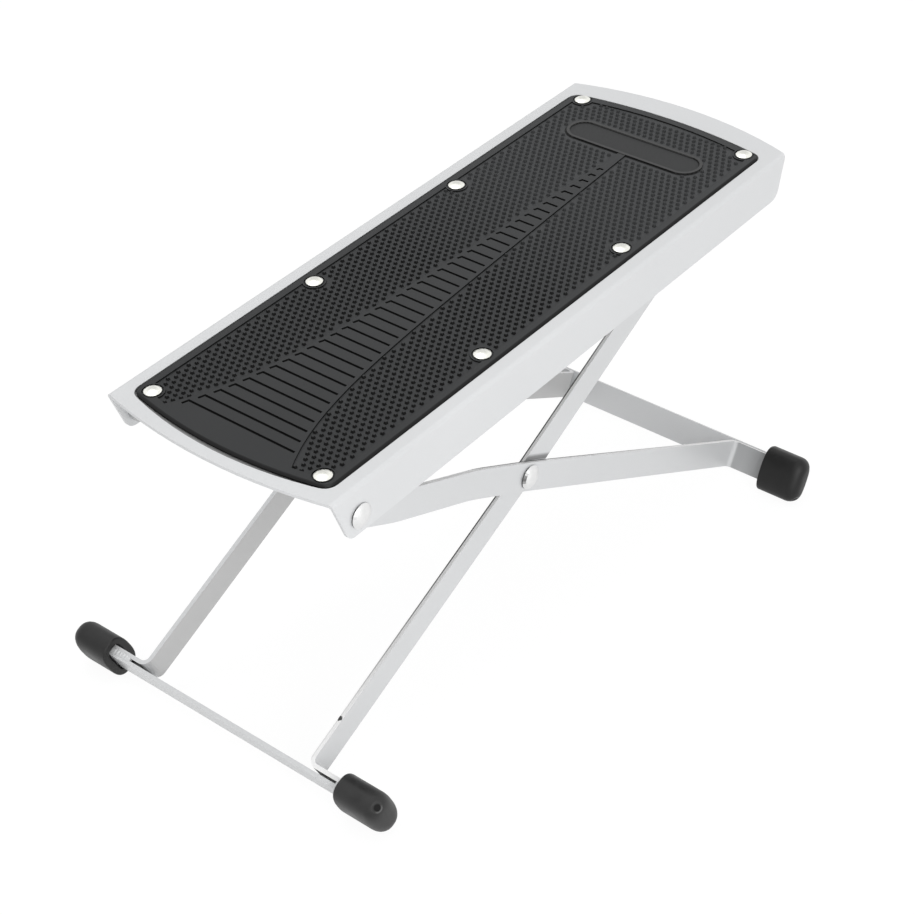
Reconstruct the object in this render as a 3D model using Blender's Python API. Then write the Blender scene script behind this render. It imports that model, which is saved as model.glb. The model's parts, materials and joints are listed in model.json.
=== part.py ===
# Folding guitar footrest: a pressed-steel platform with a riveted rubber mat, on a
# scissor stand of two flat-strip frames. The rear frame hangs from two pivot rivets
# at the low end of the platform. The front frame crosses inside it at two middle
# rivets, and its top rod rests in the notches of two racks under the platform.
# Metres, +Z up, +X to the player's right, +Y towards the raised end.

import math

import bmesh
import bpy
import numpy as np
from mathutils import Matrix, Vector

# Driving sizes
PLATFORM_WIDTH = 0.1000
PLATFORM_LENGTH = 0.2568            # along the folds, corner to corner
ARM_PIVOT_SPAN = 0.1066             # middle rivet to the upper pivot, alike on both frames
FRONT_LEG_LENGTH = 0.1292           # middle rivet to the middle of the front foot
REAR_LEG_LENGTH = 0.1566            # middle rivet to the middle of the rear foot
REAR_ARM_ANGLE = math.radians(28.0)     # rear arm to the platform, as it stands
FRONT_ARM_ANGLE = math.radians(25.85)   # front arm to the platform, as it stands
REAR_LEG_KINK = math.radians(1.4)       # set in the strip at the middle rivet
FRONT_LEG_KINK = math.radians(2.1)

# Clearances and cutting
SEAT_GAP = 0.0003                   # between pieces that touch on the real object
OVERRUN = 0.0040                    # how far a cutter passes what it cuts
MERGE_DISTANCE = 0.000001

# Platform tray
SHEET = 0.0012
FOLD_RADIUS = 0.0016
FLANGE_DEPTH_LOW = 0.0180
FLANGE_DEPTH_HIGH = 0.0170
LOW_END_BOW = 0.0059
HIGH_END_BOW = 0.0082
LOW_EDGE_SLANT = 0.0056             # how far the flange's end leans in over its depth
HIGH_EDGE_SLANT = 0.0048
LOBE_RADIUS = 0.0042
HIGH_CORNER_RADIUS = 0.0050
PIVOT_FROM_LOW_END = 0.0116
PIVOT_BELOW_TOP = 0.0114
RECESS_DEPTH = 0.0010
RECESS_MARGIN = 0.0004
RECESS_EXTRA_BOW = 0.0015

# Rubber mat
MAT_SIDE_MARGIN = 0.0062            # side of the tray to the side of the mat
MAT_FROM_LOW_END = 0.0055           # fold end to the corners of the mat
MAT_FROM_HIGH_END = 0.0073
MAT_LOW_BOW = 0.0052
MAT_HIGH_BOW = 0.0046
MAT_CORNER_RADIUS = 0.0045
MAT_HEIGHT = 0.0005                 # rim over the top of the tray
MAT_EDGE_WIDTH = 0.0009             # sloping outer edge
MAT_EDGE_DROP = 0.0006
MAT_RIM_WIDTH = 0.0034
MAT_FIELD_DROP = 0.0006             # pip field below the rim
MAT_POCKET_RADIUS = 0.0015
RIVET_PAD_DIAMETER = 0.0086
BADGE_SHARE = 0.6906                # of the mat's width
BADGE_WIDTH = 0.0140
BADGE_FROM_HIGH_END = 0.0283
BADGE_RIM = 0.0012
BADGE_SINK = 0.0005

# Ladder band along the mat
LADDER_START = 0.0124               # fold end to the first groove
LADDER_PITCH = 0.00514
LADDER_TAPER_SHARE = 0.1393         # half the band's straight taper, of the mat's width
LADDER_FLARE_SHARE = 0.1370         # what the flare adds to it at the first groove
LADDER_LEAN = 0.0008                # the flare stands this far to the left
LADDER_DECAY = 0.0280               # length over which the flare drops to a third
LADDER_EDGE = 0.0013                # from a groove's end to the side of the band
LADDER_HOOK_EDGE = 0.0019           # the same on the left, where the grooves end in hooks
GROOVE_WIDTH = 0.0010
GROOVE_DEPTH = 0.0008
HOOK_ACROSS = 0.0009                # a groove's hooked end runs this far out
HOOK_ALONG = 0.0025                 # and this far back towards the low end
HOOK_SHRINK_SHARE = 0.5             # what a hook at the tip of the band has lost
LADDER_STEPS = 36

# Mat rivets
MAT_RIVET_ROWS = 4
MAT_RIVET_FROM_LOW_END = 0.0091
MAT_RIVET_FROM_HIGH_END = 0.0098
MAT_RIVET_FROM_SIDE = 0.00595       # of the mat
MAT_RIVET_HEAD = 0.0062
MAT_RIVET_DOME = 0.0010
MAT_RIVET_SHANK = 0.0032
MAT_RIVET_TAIL = 0.0048
MAT_RIVET_TAIL_HEIGHT = 0.0008
COUNTERBORE = 0.0076                # in the mat, round a rivet's head
COUNTERBORE_DEPTH = 0.0005

# Strip of the frames
STRIP_WIDTH = 0.0112
STRIP_THICKNESS = 0.0016
BEND_RADIUS = 0.0030                # on the middle of the thickness
JOGGLE_START = 0.0160               # pivot rivet to the start of the joggle
JOGGLE_ANGLE = math.radians(7.0)
JOGGLE_RADIUS = 0.0900
REAR_ARM_INSET = 0.0078             # side of the tray to the outside of the rear arms
FOOT_GAP = 0.0009                   # a foot's tab to the crossbar

# Rivets of the frames
HEAD_EDGE = 0.0003
PIVOT_HEAD = 0.0089
PIVOT_DOME = 0.0014
PIVOT_SHANK = 0.0050
PIVOT_TAIL = 0.0076
PIVOT_TAIL_HEIGHT = 0.0010
MIDDLE_HEAD = 0.0092
MIDDLE_DOME = 0.0018
MIDDLE_SHANK = 0.0048
MIDDLE_TAIL = 0.0072
MIDDLE_TAIL_HEIGHT = 0.0010

# Ratchet rod and racks
ROD_DIAMETER = 0.0050
ROD_END_DIAMETER = 0.0038
ROD_HEAD = 0.0062
ROD_HEAD_HEIGHT = 0.0009
RACK_INSET = 0.0057                 # inside of the front arms to the outside of the racks
RACK_SHEET = 0.0020
RACK_FOOT_WIDTH = 0.0110
RACK_FOOT_THICKNESS = 0.0014
RACK_END_LAND = 0.0090              # last notch to the end of a rack
NOTCH_COUNT = 5
NOTCH_PITCH = 0.0120
NOTCH_DEPTH = 0.0048                # how far the rod rises from its resting place
NOTCH_RAMP = 0.0030                 # run of the sloping side

# Rubber caps
FRONT_CAP_OVERHANG = 0.0050         # side of the tray to the mouth of a front cap
REAR_CAP_OVERHANG = 0.0082
CAP_LENGTH = 0.0180
CAP_WIDTH = 0.0190
CAP_THICKNESS = 0.0118
CAP_GRIP = 0.0130                   # how far a crossbar reaches into its caps
CAP_END_ROUND = 0.0046
CAP_MOUTH_ROUND = 0.0006
CAP_DIMPLE = 0.0042                 # moulding mark in one flat side
CAP_DIMPLE_DEPTH = 0.0004
CAP_DIMPLE_FROM_MOUTH = 0.0110

# Smoothness
ARC_STEPS = 6
END_BOW_STEPS = 14
ROUND_SEGMENTS = 24
SMALL_SEGMENTS = 16
DOME_STEPS = 4
CAP_MOUTH_STEPS = 3
SHARP_ANGLE = math.radians(40.0)
STANCE_STEPS = 6                    # rounds in which the standing tilt settles
SIDES = (("left", -1), ("right", 1))

# Heights over the pivot rivets and distances from them, along the platform
TRAY_TOP = PIVOT_BELOW_TOP
RECESS_FLOOR = TRAY_TOP - RECESS_DEPTH
RECESS_UNDERSIDE = RECESS_FLOOR - SHEET
MAT_TOP = TRAY_TOP + MAT_HEIGHT
LOW_END = -PIVOT_FROM_LOW_END
HIGH_END = LOW_END + PLATFORM_LENGTH

# The mat and what lies on it
MAT_WIDTH = PLATFORM_WIDTH - 2 * MAT_SIDE_MARGIN
MAT_CORNER_LENGTH = PLATFORM_LENGTH - MAT_FROM_LOW_END - MAT_FROM_HIGH_END
MAT_RIVET_SPACING = MAT_WIDTH - 2 * MAT_RIVET_FROM_SIDE
MAT_RIVET_RUN = PLATFORM_LENGTH - MAT_RIVET_FROM_LOW_END - MAT_RIVET_FROM_HIGH_END
MAT_RIVET_PITCH = MAT_RIVET_RUN / (MAT_RIVET_ROWS - 1)
BADGE_LENGTH = BADGE_SHARE * MAT_WIDTH
BADGE_FROM_LOW_END = PLATFORM_LENGTH - BADGE_FROM_HIGH_END
LADDER_TIP = BADGE_FROM_LOW_END - BADGE_WIDTH / 2
LADDER_TAPER = LADDER_TAPER_SHARE * MAT_WIDTH
LADDER_FLARE = LADDER_FLARE_SHARE * MAT_WIDTH
LADDER_COUNT = int((LADDER_TIP - LADDER_START) / LADDER_PITCH) - 1

# Places across the part, from its middle to the middle of a strip
FLANGE_INSIDE = PLATFORM_WIDTH / 2 - SHEET
REAR_PIVOT_OFFSET = FLANGE_INSIDE - SEAT_GAP - STRIP_THICKNESS / 2
REAR_ARM_OFFSET = PLATFORM_WIDTH / 2 - REAR_ARM_INSET - STRIP_THICKNESS / 2
FRONT_ARM_OFFSET = REAR_ARM_OFFSET - STRIP_THICKNESS - SEAT_GAP
RACK_HALF_SPAN = FRONT_ARM_OFFSET - STRIP_THICKNESS / 2 - RACK_INSET    # to its outside
FRONT_CAP_HALF_SPAN = PLATFORM_WIDTH / 2 + FRONT_CAP_OVERHANG           # to a cap's mouth
REAR_CAP_HALF_SPAN = PLATFORM_WIDTH / 2 + REAR_CAP_OVERHANG

# Where the rod rests, and how the frames stand against the platform
SCISSOR_HALF = (REAR_ARM_ANGLE + FRONT_ARM_ANGLE) / 2
TRACK_TILT = (REAR_ARM_ANGLE - FRONT_ARM_ANGLE) / 2
ROD_REACH = 2 * ARM_PIVOT_SPAN * math.cos(SCISSOR_HALF)
ROD_DROP = ROD_REACH * math.sin(TRACK_TILT)
ROD_RADIUS = ROD_DIAMETER / 2
STACK_OFFSET = (STRIP_THICKNESS + FOOT_GAP) / 2     # middle of a foot to a tab or crossbar


# Scene, materials and objects

def clear_scene():
    for item in list(bpy.data.objects):
        bpy.data.objects.remove(item, do_unlink=True)


def make_material(name, colour, roughness, metallic):
    material = bpy.data.materials.new(name)
    material.use_nodes = True
    shader = material.node_tree.nodes["Principled BSDF"]
    shader.inputs["Base Color"].default_value = (*colour, 1.0)
    shader.inputs["Roughness"].default_value = roughness
    shader.inputs["Metallic"].default_value = metallic
    material.diffuse_color = (*colour, 1.0)
    return material


def make_materials():
    return {
        "tray": make_material("tray_paint", (0.72, 0.72, 0.73), 0.38, 0.35),
        "frame": make_material("frame_paint", (0.66, 0.67, 0.68), 0.36, 0.45),
        "mat": make_material("mat_rubber", (0.045, 0.045, 0.047), 0.62, 0.0),
        "cap": make_material("cap_rubber", (0.022, 0.022, 0.024), 0.48, 0.0),
        "rivet": make_material("rivet_steel", (0.82, 0.81, 0.78), 0.22, 1.0),
        "rack": make_material("rack_steel", (0.55, 0.56, 0.57), 0.40, 0.9),
    }


def make_axis(name, location, turn=0.0, parent=None):
    axis = bpy.data.objects.new(name, None)
    axis.empty_display_size = STRIP_WIDTH
    axis.location = location
    axis.rotation_euler = (turn, 0.0, 0.0)
    axis.parent = parent
    bpy.context.collection.objects.link(axis)
    return axis


def make_object(name, shape, material, parent, location=(0.0, 0.0, 0.0), rotation=(0.0, 0.0, 0.0)):
    bmesh.ops.recalc_face_normals(shape, faces=shape.faces)
    mesh = bpy.data.meshes.new(name)
    shape.to_mesh(mesh)
    shape.free()
    mesh.shade_smooth()
    mesh.set_sharp_from_angle(angle=SHARP_ANGLE)
    if material is not None:
        mesh.materials.append(material)
    item = bpy.data.objects.new(name, mesh)
    item.parent = parent
    item.location = location
    item.rotation_euler = rotation
    bpy.context.collection.objects.link(item)
    return item


def combine(item, operation, name, shape):
    # The tool shape stays in the file as a hidden wire object beside the piece it works on
    tool = make_object(name, shape, None, item.parent, item.location, item.rotation_euler)
    tool.hide_render = True
    tool.display_type = "WIRE"
    modifier = item.modifiers.new(name, "BOOLEAN")
    modifier.operation = operation
    modifier.solver = "EXACT"
    modifier.object = tool
    return tool


# Outlines

def arc(centre, radius, start, end, steps):
    angles = np.linspace(start, end, steps + 1)
    return [(centre[0] + radius * math.cos(a), centre[1] + radius * math.sin(a)) for a in angles]


def bowed_edge(start, end, bow):
    # From start to end along the circle that bulges by bow to the right of that line
    start, end = Vector(start), Vector(end)
    chord = end - start
    radius = (chord.length ** 2 / 4 + bow ** 2) / (2 * bow)
    outward = Vector((chord.y, -chord.x)).normalized()
    centre = (start + end) / 2 - outward * (radius - bow)
    half = math.asin(chord.length / 2 / radius)
    middle = math.atan2(outward.y, outward.x)
    return arc(centre, radius, middle - half, middle + half, END_BOW_STEPS)


def round_corner(before, corner, after, radius):
    before, corner, after = Vector(before), Vector(corner), Vector(after)
    into = (before - corner).normalized()
    out = (after - corner).normalized()
    half = into.angle(out) / 2
    centre = corner + (into + out).normalized() * (radius / math.sin(half))
    first = corner + into * (radius / math.tan(half)) - centre
    last = corner + out * (radius / math.tan(half)) - centre
    start = math.atan2(first.y, first.x)
    turn = (math.atan2(last.y, last.x) - start + math.pi) % (2 * math.pi) - math.pi
    return arc(centre, radius, start, start + turn, ARC_STEPS)


def rounded(outline, radii):
    # radii holds a radius for each corner that is rounded, by its place in the outline
    points = []
    for index, corner in enumerate(outline):
        if index in radii:
            after = outline[(index + 1) % len(outline)]
            points += round_corner(outline[index - 1], corner, after, radii[index])
        else:
            points.append(corner)
    return points


def stadium(length, width, centre=(0.0, 0.0)):
    # Long along the first axis
    reach = (length - width) / 2
    ends = arc((reach, 0.0), width / 2, -math.pi / 2, math.pi / 2, 2 * ARC_STEPS)
    ends += arc((-reach, 0.0), width / 2, math.pi / 2, 3 * math.pi / 2, 2 * ARC_STEPS)
    return [(centre[0] + x, centre[1] + y) for x, y in ends]


def rectangle(half_width, half_height):
    return [
        (-half_width, -half_height), (half_width, -half_height),
        (half_width, half_height), (-half_width, half_height),
    ]


def bowed_plan(half, low, high, low_bow, high_bow):
    return bowed_edge((-half, low), (half, low), low_bow) + bowed_edge((half, high), (-half, high), high_bow)


def dome(radius, height):
    # (radius, height) pairs from the crown down to the rim
    sphere = (radius ** 2 + height ** 2) / (2 * height)
    spread = math.asin(radius / sphere)
    angles = np.linspace(0.0, spread, DOME_STEPS + 1)
    return [(sphere * math.sin(a), sphere * math.cos(a) - sphere + height) for a in angles]


# Solids

def prism(outline, low, high, axis="Z", shape=None):
    # An outline (x, y) drawn up Z, (x, z) drawn along Y or (y, z) drawn along X
    spots = {
        "X": [(low, a, b) for a, b in outline],
        "Y": [(a, low, b) for a, b in outline],
        "Z": [(a, b, low) for a, b in outline],
    }[axis]
    if shape is None:
        shape = bmesh.new()
    face = shape.faces.new([shape.verts.new(spot) for spot in spots])
    grown = bmesh.ops.extrude_face_region(shape, geom=[face])["geom"]
    moved = [item for item in grown if isinstance(item, bmesh.types.BMVert)]
    shift = {"X": (high - low, 0.0, 0.0), "Y": (0.0, high - low, 0.0), "Z": (0.0, 0.0, high - low)}
    bmesh.ops.translate(shape, verts=moved, vec=shift[axis])
    return shape


def lathe(profile, segments):
    # Turns (radius, height) pairs, which start and end on the axis, round Z
    shape = bmesh.new()
    verts = [shape.verts.new((radius, 0.0, height)) for radius, height in profile]
    edges = [shape.edges.new(pair) for pair in zip(verts, verts[1:])]
    bmesh.ops.spin(
        shape, geom=verts + edges, cent=(0.0, 0.0, 0.0), axis=(0.0, 0.0, 1.0),
        angle=2 * math.pi, steps=segments, use_merge=True)
    bmesh.ops.remove_doubles(shape, verts=shape.verts, dist=MERGE_DISTANCE)
    return shape


def loft(rings):
    shape = bmesh.new()
    loops = [[shape.verts.new(point) for point in ring] for ring in rings]
    for first, second in zip(loops, loops[1:]):
        for index in range(len(first)):
            after = (index + 1) % len(first)
            shape.faces.new((first[index], first[after], second[after], second[index]))
    shape.faces.new(loops[0])
    shape.faces.new(loops[-1])
    return shape


def rods(places, radius, low, high):
    # Upright round cutters at the (x, y) places
    shape = bmesh.new()
    for x, y in places:
        bmesh.ops.create_cone(
            shape, cap_ends=True, segments=SMALL_SEGMENTS, radius1=radius, radius2=radius,
            depth=high - low, matrix=Matrix.Translation((x, y, (low + high) / 2)))
    return shape


def cross_pin(radius, reach, along=0.0):
    # A round cutter along X, as long on both sides of the middle
    shape = rods([(0.0, 0.0)], radius, -reach, reach)
    bmesh.ops.rotate(shape, verts=shape.verts, matrix=Matrix.Rotation(math.pi / 2, 3, "Y"))
    bmesh.ops.translate(shape, verts=shape.verts, vec=(0.0, along, 0.0))
    return shape


def rivet_shape(head, head_dome, shank, grip, tail, tail_height, segments):
    # Height 0 is the underside of the head
    profile = [(radius, height + HEAD_EDGE) for radius, height in dome(head / 2, head_dome)]
    profile += [(head / 2, 0.0), (shank / 2, 0.0), (shank / 2, -grip), (tail / 2, -grip)]
    profile += [(tail / 2, -grip - tail_height), (0.0, -grip - tail_height)]
    return lathe(profile, segments)


# Platform

def mat_plan(margin, extra_low_bow, radius):
    half = MAT_WIDTH / 2 + margin
    low = LOW_END + MAT_FROM_LOW_END - margin
    high = LOW_END + MAT_FROM_LOW_END + MAT_CORNER_LENGTH + margin
    outline = bowed_plan(half, low, high, MAT_LOW_BOW + extra_low_bow, MAT_HIGH_BOW)
    last = len(outline) - 1
    corners = (0, END_BOW_STEPS, END_BOW_STEPS + 1, last)
    return rounded(outline, {corner: radius for corner in corners})


def mat_rivet_places():
    first = LOW_END + MAT_RIVET_FROM_LOW_END
    rows = [first + MAT_RIVET_PITCH * row for row in range(MAT_RIVET_ROWS)]
    return [(side * MAT_RIVET_SPACING / 2, along) for along in rows for side in (-1, 1)]


def tray_section():
    # The folded sheet seen from the low end, cut to its flange depths afterwards
    half = PLATFORM_WIDTH / 2
    hem = TRAY_TOP - FLANGE_DEPTH_LOW - OVERRUN
    right = (half - FOLD_RADIUS, TRAY_TOP - FOLD_RADIUS)
    left = (-right[0], right[1])
    inner = FOLD_RADIUS - SHEET
    outline = [(half, hem)]
    outline += arc(right, FOLD_RADIUS, 0.0, math.pi / 2, ARC_STEPS)
    outline += arc(left, FOLD_RADIUS, math.pi / 2, math.pi, ARC_STEPS)
    outline += [(-half, hem), (-half + SHEET, hem)]
    outline += arc(left, inner, math.pi, math.pi / 2, ARC_STEPS)
    outline += arc(right, inner, math.pi / 2, 0.0, ARC_STEPS)
    outline.append((half - SHEET, hem))
    return outline


def tray_side():
    # What the flanges keep, seen from the side; the top plate passes over both ends
    low_lip = LOW_END - LOW_END_BOW - OVERRUN
    high_lip = HIGH_END + HIGH_END_BOW + OVERRUN
    shoulder = TRAY_TOP - FOLD_RADIUS
    outline = [
        (low_lip, TRAY_TOP + OVERRUN),
        (low_lip, shoulder),
        (LOW_END, shoulder),
        (LOW_END + LOW_EDGE_SLANT, TRAY_TOP - FLANGE_DEPTH_LOW),
        (HIGH_END - HIGH_EDGE_SLANT, TRAY_TOP - FLANGE_DEPTH_HIGH),
        (HIGH_END, shoulder),
        (high_lip, shoulder),
        (high_lip, TRAY_TOP + OVERRUN),
    ]
    return rounded(outline, {3: LOBE_RADIUS, 4: HIGH_CORNER_RADIUS})


def tray_plan():
    half = PLATFORM_WIDTH / 2
    wide = half + OVERRUN
    low_edge = bowed_edge((-half, LOW_END), (half, LOW_END), LOW_END_BOW)
    high_edge = bowed_edge((half, HIGH_END), (-half, HIGH_END), HIGH_END_BOW)
    return low_edge + [(wide, LOW_END), (wide, HIGH_END)] + high_edge + [(-wide, HIGH_END), (-wide, LOW_END)]


def build_tray(material, parent):
    low_lip = LOW_END - LOW_END_BOW - OVERRUN
    high_lip = HIGH_END + HIGH_END_BOW + OVERRUN
    deep = TRAY_TOP - FLANGE_DEPTH_LOW - 2 * OVERRUN
    wide = PLATFORM_WIDTH / 2 + OVERRUN
    corner = MAT_CORNER_RADIUS + RECESS_MARGIN
    tray = make_object("tray", prism(tray_section(), low_lip, high_lip, "Y"), material, parent)
    combine(tray, "INTERSECT", "tray_plan_tool", prism(tray_plan(), deep, TRAY_TOP + OVERRUN))
    combine(tray, "INTERSECT", "tray_side_tool", prism(tray_side(), -wide, wide, "X"))
    pan = mat_plan(RECESS_MARGIN + SHEET, RECESS_EXTRA_BOW, corner + SHEET)
    combine(tray, "UNION", "tray_pan_tool", prism(pan, RECESS_UNDERSIDE, TRAY_TOP - SHEET / 2))
    recess = mat_plan(RECESS_MARGIN, RECESS_EXTRA_BOW, corner)
    combine(tray, "DIFFERENCE", "tray_recess_tool", prism(recess, RECESS_FLOOR, TRAY_TOP + OVERRUN))
    hole = MAT_RIVET_SHANK / 2 + SEAT_GAP
    holes = rods(mat_rivet_places(), hole, RECESS_UNDERSIDE - OVERRUN, RECESS_FLOOR + OVERRUN)
    combine(tray, "DIFFERENCE", "tray_rivet_holes", holes)
    combine(tray, "DIFFERENCE", "tray_pivot_holes", cross_pin(PIVOT_SHANK / 2 + SEAT_GAP, wide))
    return tray


def groove_end(distance, side):
    # Where a groove at a distance from the platform's low end stops on one side
    taper = LADDER_TAPER * (1 - distance / LADDER_TIP)
    flare = (LADDER_FLARE - side * LADDER_LEAN) * math.exp((LADDER_START - distance) / LADDER_DECAY)
    return side * (taper + flare)


def ladder_plan():
    start = MAT_FROM_LOW_END - MAT_LOW_BOW - OVERRUN
    distances = np.linspace(start, BADGE_FROM_LOW_END, LADDER_STEPS + 1)
    right = [(groove_end(d, 1) + LADDER_EDGE, LOW_END + d) for d in distances]
    left = [(groove_end(d, -1) - LADDER_HOOK_EDGE, LOW_END + d) for d in reversed(distances)]
    return right + left


def groove_plan(distance):
    # A straight groove whose left end turns back in a hook, cut square at both ends
    side = GROOVE_WIDTH / 2
    along = LOW_END + distance
    left, right = groove_end(distance, -1), groove_end(distance, 1)
    shrink = 1 - HOOK_SHRINK_SHARE * distance / LADDER_TIP
    hook = shrink * Vector((-HOOK_ACROSS, -HOOK_ALONG))
    square = side * Vector((hook.y, -hook.x)).normalized()
    end = Vector((left, along)) + hook
    mitre = side * math.tan(math.atan2(-hook.y, -hook.x) / 2)
    return [
        (right, along - side), (right, along + side), (left - mitre, along + side),
        tuple(end + square), tuple(end - square), (left + mitre, along - side),
    ]


def groove_shape():
    shape = bmesh.new()
    for index in range(LADDER_COUNT):
        plan = groove_plan(LADDER_START + LADDER_PITCH * index)
        prism(plan, MAT_TOP - GROOVE_DEPTH, MAT_TOP + OVERRUN, shape=shape)
    return shape


def mat_blank(bottom):
    # The mat before it is sunk and grooved, with its sloping outer edge
    rings = []
    for inset, height in ((0.0, bottom), (0.0, MAT_TOP - MAT_EDGE_DROP), (MAT_EDGE_WIDTH, MAT_TOP)):
        plan = mat_plan(-inset, 0.0, MAT_CORNER_RADIUS - inset)
        rings.append([(across, along, height) for across, along in plan])
    return loft(rings)


def build_mat(material, parent):
    bottom = RECESS_FLOOR + SEAT_GAP
    field = MAT_TOP - MAT_FIELD_DROP
    above = MAT_TOP + OVERRUN
    badge_middle = (0.0, LOW_END + BADGE_FROM_LOW_END)
    mat = make_object("mat", mat_blank(bottom), material, parent)
    pocket = prism(mat_plan(-MAT_RIM_WIDTH, 0.0, MAT_POCKET_RADIUS), field, above)
    field_tool = combine(mat, "DIFFERENCE", "mat_field_tool", pocket)
    under, over = field - OVERRUN, above + OVERRUN
    combine(field_tool, "DIFFERENCE", "mat_ladder_tool", prism(ladder_plan(), under, over))
    badge = stadium(BADGE_LENGTH, BADGE_WIDTH, badge_middle)
    combine(field_tool, "DIFFERENCE", "mat_badge_tool", prism(badge, under, over))
    pads = rods(mat_rivet_places(), RIVET_PAD_DIAMETER / 2, under, over)
    combine(field_tool, "DIFFERENCE", "mat_pad_tool", pads)
    sink = stadium(BADGE_LENGTH - 2 * BADGE_RIM, BADGE_WIDTH - 2 * BADGE_RIM, badge_middle)
    combine(mat, "DIFFERENCE", "mat_badge_sink", prism(sink, MAT_TOP - BADGE_SINK, above))
    combine(mat, "DIFFERENCE", "mat_grooves", groove_shape())
    seats = rods(mat_rivet_places(), COUNTERBORE / 2, MAT_TOP - COUNTERBORE_DEPTH, above)
    combine(mat, "DIFFERENCE", "mat_rivet_seats", seats)
    hole = MAT_RIVET_SHANK / 2 + SEAT_GAP
    holes = rods(mat_rivet_places(), hole, bottom - OVERRUN, above)
    combine(mat, "DIFFERENCE", "mat_rivet_holes", holes)
    return mat


def build_mat_rivets(material, parent):
    seat = MAT_TOP - COUNTERBORE_DEPTH + SEAT_GAP
    grip = seat - (RECESS_UNDERSIDE - SEAT_GAP)
    for number, (across, along) in enumerate(mat_rivet_places(), start=1):
        shape = rivet_shape(
            MAT_RIVET_HEAD, MAT_RIVET_DOME, MAT_RIVET_SHANK, grip,
            MAT_RIVET_TAIL, MAT_RIVET_TAIL_HEIGHT, SMALL_SEGMENTS)
        make_object(f"mat_rivet_{number}", shape, material, parent, (across, along, seat))


# Ratchet

def rack_crest():
    # The rod passes just under the teeth all the way to the steepest notch
    steepest = ROD_REACH * math.cos(TRACK_TILT) - NOTCH_PITCH * (NOTCH_COUNT - 1)
    return ROD_RADIUS + SEAT_GAP - steepest * math.tan(TRACK_TILT)


def rack_outline():
    # Seen from the side, starting at the raised end: a steep wall holds the rod back
    # from the raised end, and a ramp lets it climb out towards the low end
    crest = rack_crest()
    top = RECESS_UNDERSIDE - SEAT_GAP
    seat = ROD_RADIUS + SEAT_GAP
    rest_along = ROD_REACH * math.cos(TRACK_TILT)
    rest_height = NOTCH_DEPTH - ROD_DROP
    outline = [(rest_along + RACK_END_LAND, crest)]
    for index in range(NOTCH_COUNT):
        middle = (rest_along - NOTCH_PITCH * index, rest_height)
        outline.append((middle[0] + seat, crest))
        outline += arc(middle, seat, 0.0, math.pi, 2 * ARC_STEPS)
        outline.append((middle[0] - seat - NOTCH_RAMP, crest))
    low_end = rest_along - NOTCH_PITCH * (NOTCH_COUNT - 1) - RACK_END_LAND
    outline += [(low_end, crest), (low_end, top), (rest_along + RACK_END_LAND, top)]
    return outline


def build_rack(name, side, material, parent):
    outline = rack_outline()
    top = RECESS_UNDERSIDE - SEAT_GAP
    outside, inside = RACK_HALF_SPAN, RACK_HALF_SPAN - RACK_SHEET
    web = prism(outline, side * inside, side * outside, "X")
    rack = make_object(name, web, material, parent)
    foot_inside = RACK_HALF_SPAN - RACK_FOOT_WIDTH
    alongs = [along for along, height in outline]
    low, high = min(alongs), max(alongs)
    foot = [(side * x, y) for x, y in
            ((foot_inside, low), (outside, low), (outside, high), (foot_inside, high))]
    combine(rack, "UNION", name + "_foot_tool", prism(foot, top - RACK_FOOT_THICKNESS, top))
    return rack


def build_rod(material, parent):
    shoulder = FRONT_ARM_OFFSET - STRIP_THICKNESS / 2 - SEAT_GAP
    seat = FRONT_ARM_OFFSET + STRIP_THICKNESS / 2 + SEAT_GAP
    end = seat + ROD_HEAD_HEIGHT
    half = [
        (0.0, end), (ROD_HEAD / 2, end), (ROD_HEAD / 2, seat), (ROD_END_DIAMETER / 2, seat),
        (ROD_END_DIAMETER / 2, shoulder), (ROD_RADIUS, shoulder),
    ]
    profile = half + [(radius, -height) for radius, height in reversed(half)]
    shape = lathe(profile, ROUND_SEGMENTS)
    place = (0.0, -ARM_PIVOT_SPAN, 0.0)
    return make_object("ratchet_rod", shape, material, parent, place, (0.0, math.pi / 2, 0.0))


# Frames. In a frame's own axes the middle rivets are at the origin and +Y runs down
# the arm to the foot, on the line from the upper pivot.

def walk(stations, stretches):
    # Adds the stretches (length, turn, half width) of a bent strip to its stations
    along, across, heading = stations[-1][:3]
    for length, turn, half_width in stretches:
        steps = ARC_STEPS if turn else 1
        step_turn = turn / steps
        step_length = length / steps
        if turn:
            step_length = 2 * length / turn * math.sin(step_turn / 2)
        for _ in range(steps):
            heading += step_turn / 2
            along += step_length * math.cos(heading)
            across += step_length * math.sin(heading)
            heading += step_turn / 2
            stations.append((along, across, heading, half_width))


def round_end(along, across, radius):
    # Stations of a rounded end whose middle is at the pivot
    angles = [(step + 0.5) / ARC_STEPS * math.pi / 2 for step in range(ARC_STEPS)]
    stations = [(along - radius * math.cos(a), across, 0.0, radius * math.sin(a)) for a in angles]
    return stations + [(along, across, 0.0, radius)]


def bent_strip(stations, kink, side):
    rings = []
    for along, across, heading, half_width in stations:
        normal = (-math.sin(heading), math.cos(heading))
        turn, stretch = (0.0, 1.0) if along < -MERGE_DISTANCE else (-kink, 1.0)
        if abs(along) <= MERGE_DISTANCE:
            turn, stretch = -kink / 2, 1.0 / math.cos(kink / 2)
        ring = []
        for face, edge in ((1, 1), (1, -1), (-1, -1), (-1, 1)):
            y = along + face * normal[0] * STRIP_THICKNESS / 2
            x = across + face * normal[1] * STRIP_THICKNESS / 2
            point = Vector((side * x, y, edge * half_width * stretch))
            point.rotate(Matrix.Rotation(turn, 3, "X"))
            ring.append(point)
        rings.append(ring)
    return loft(rings)


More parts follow.
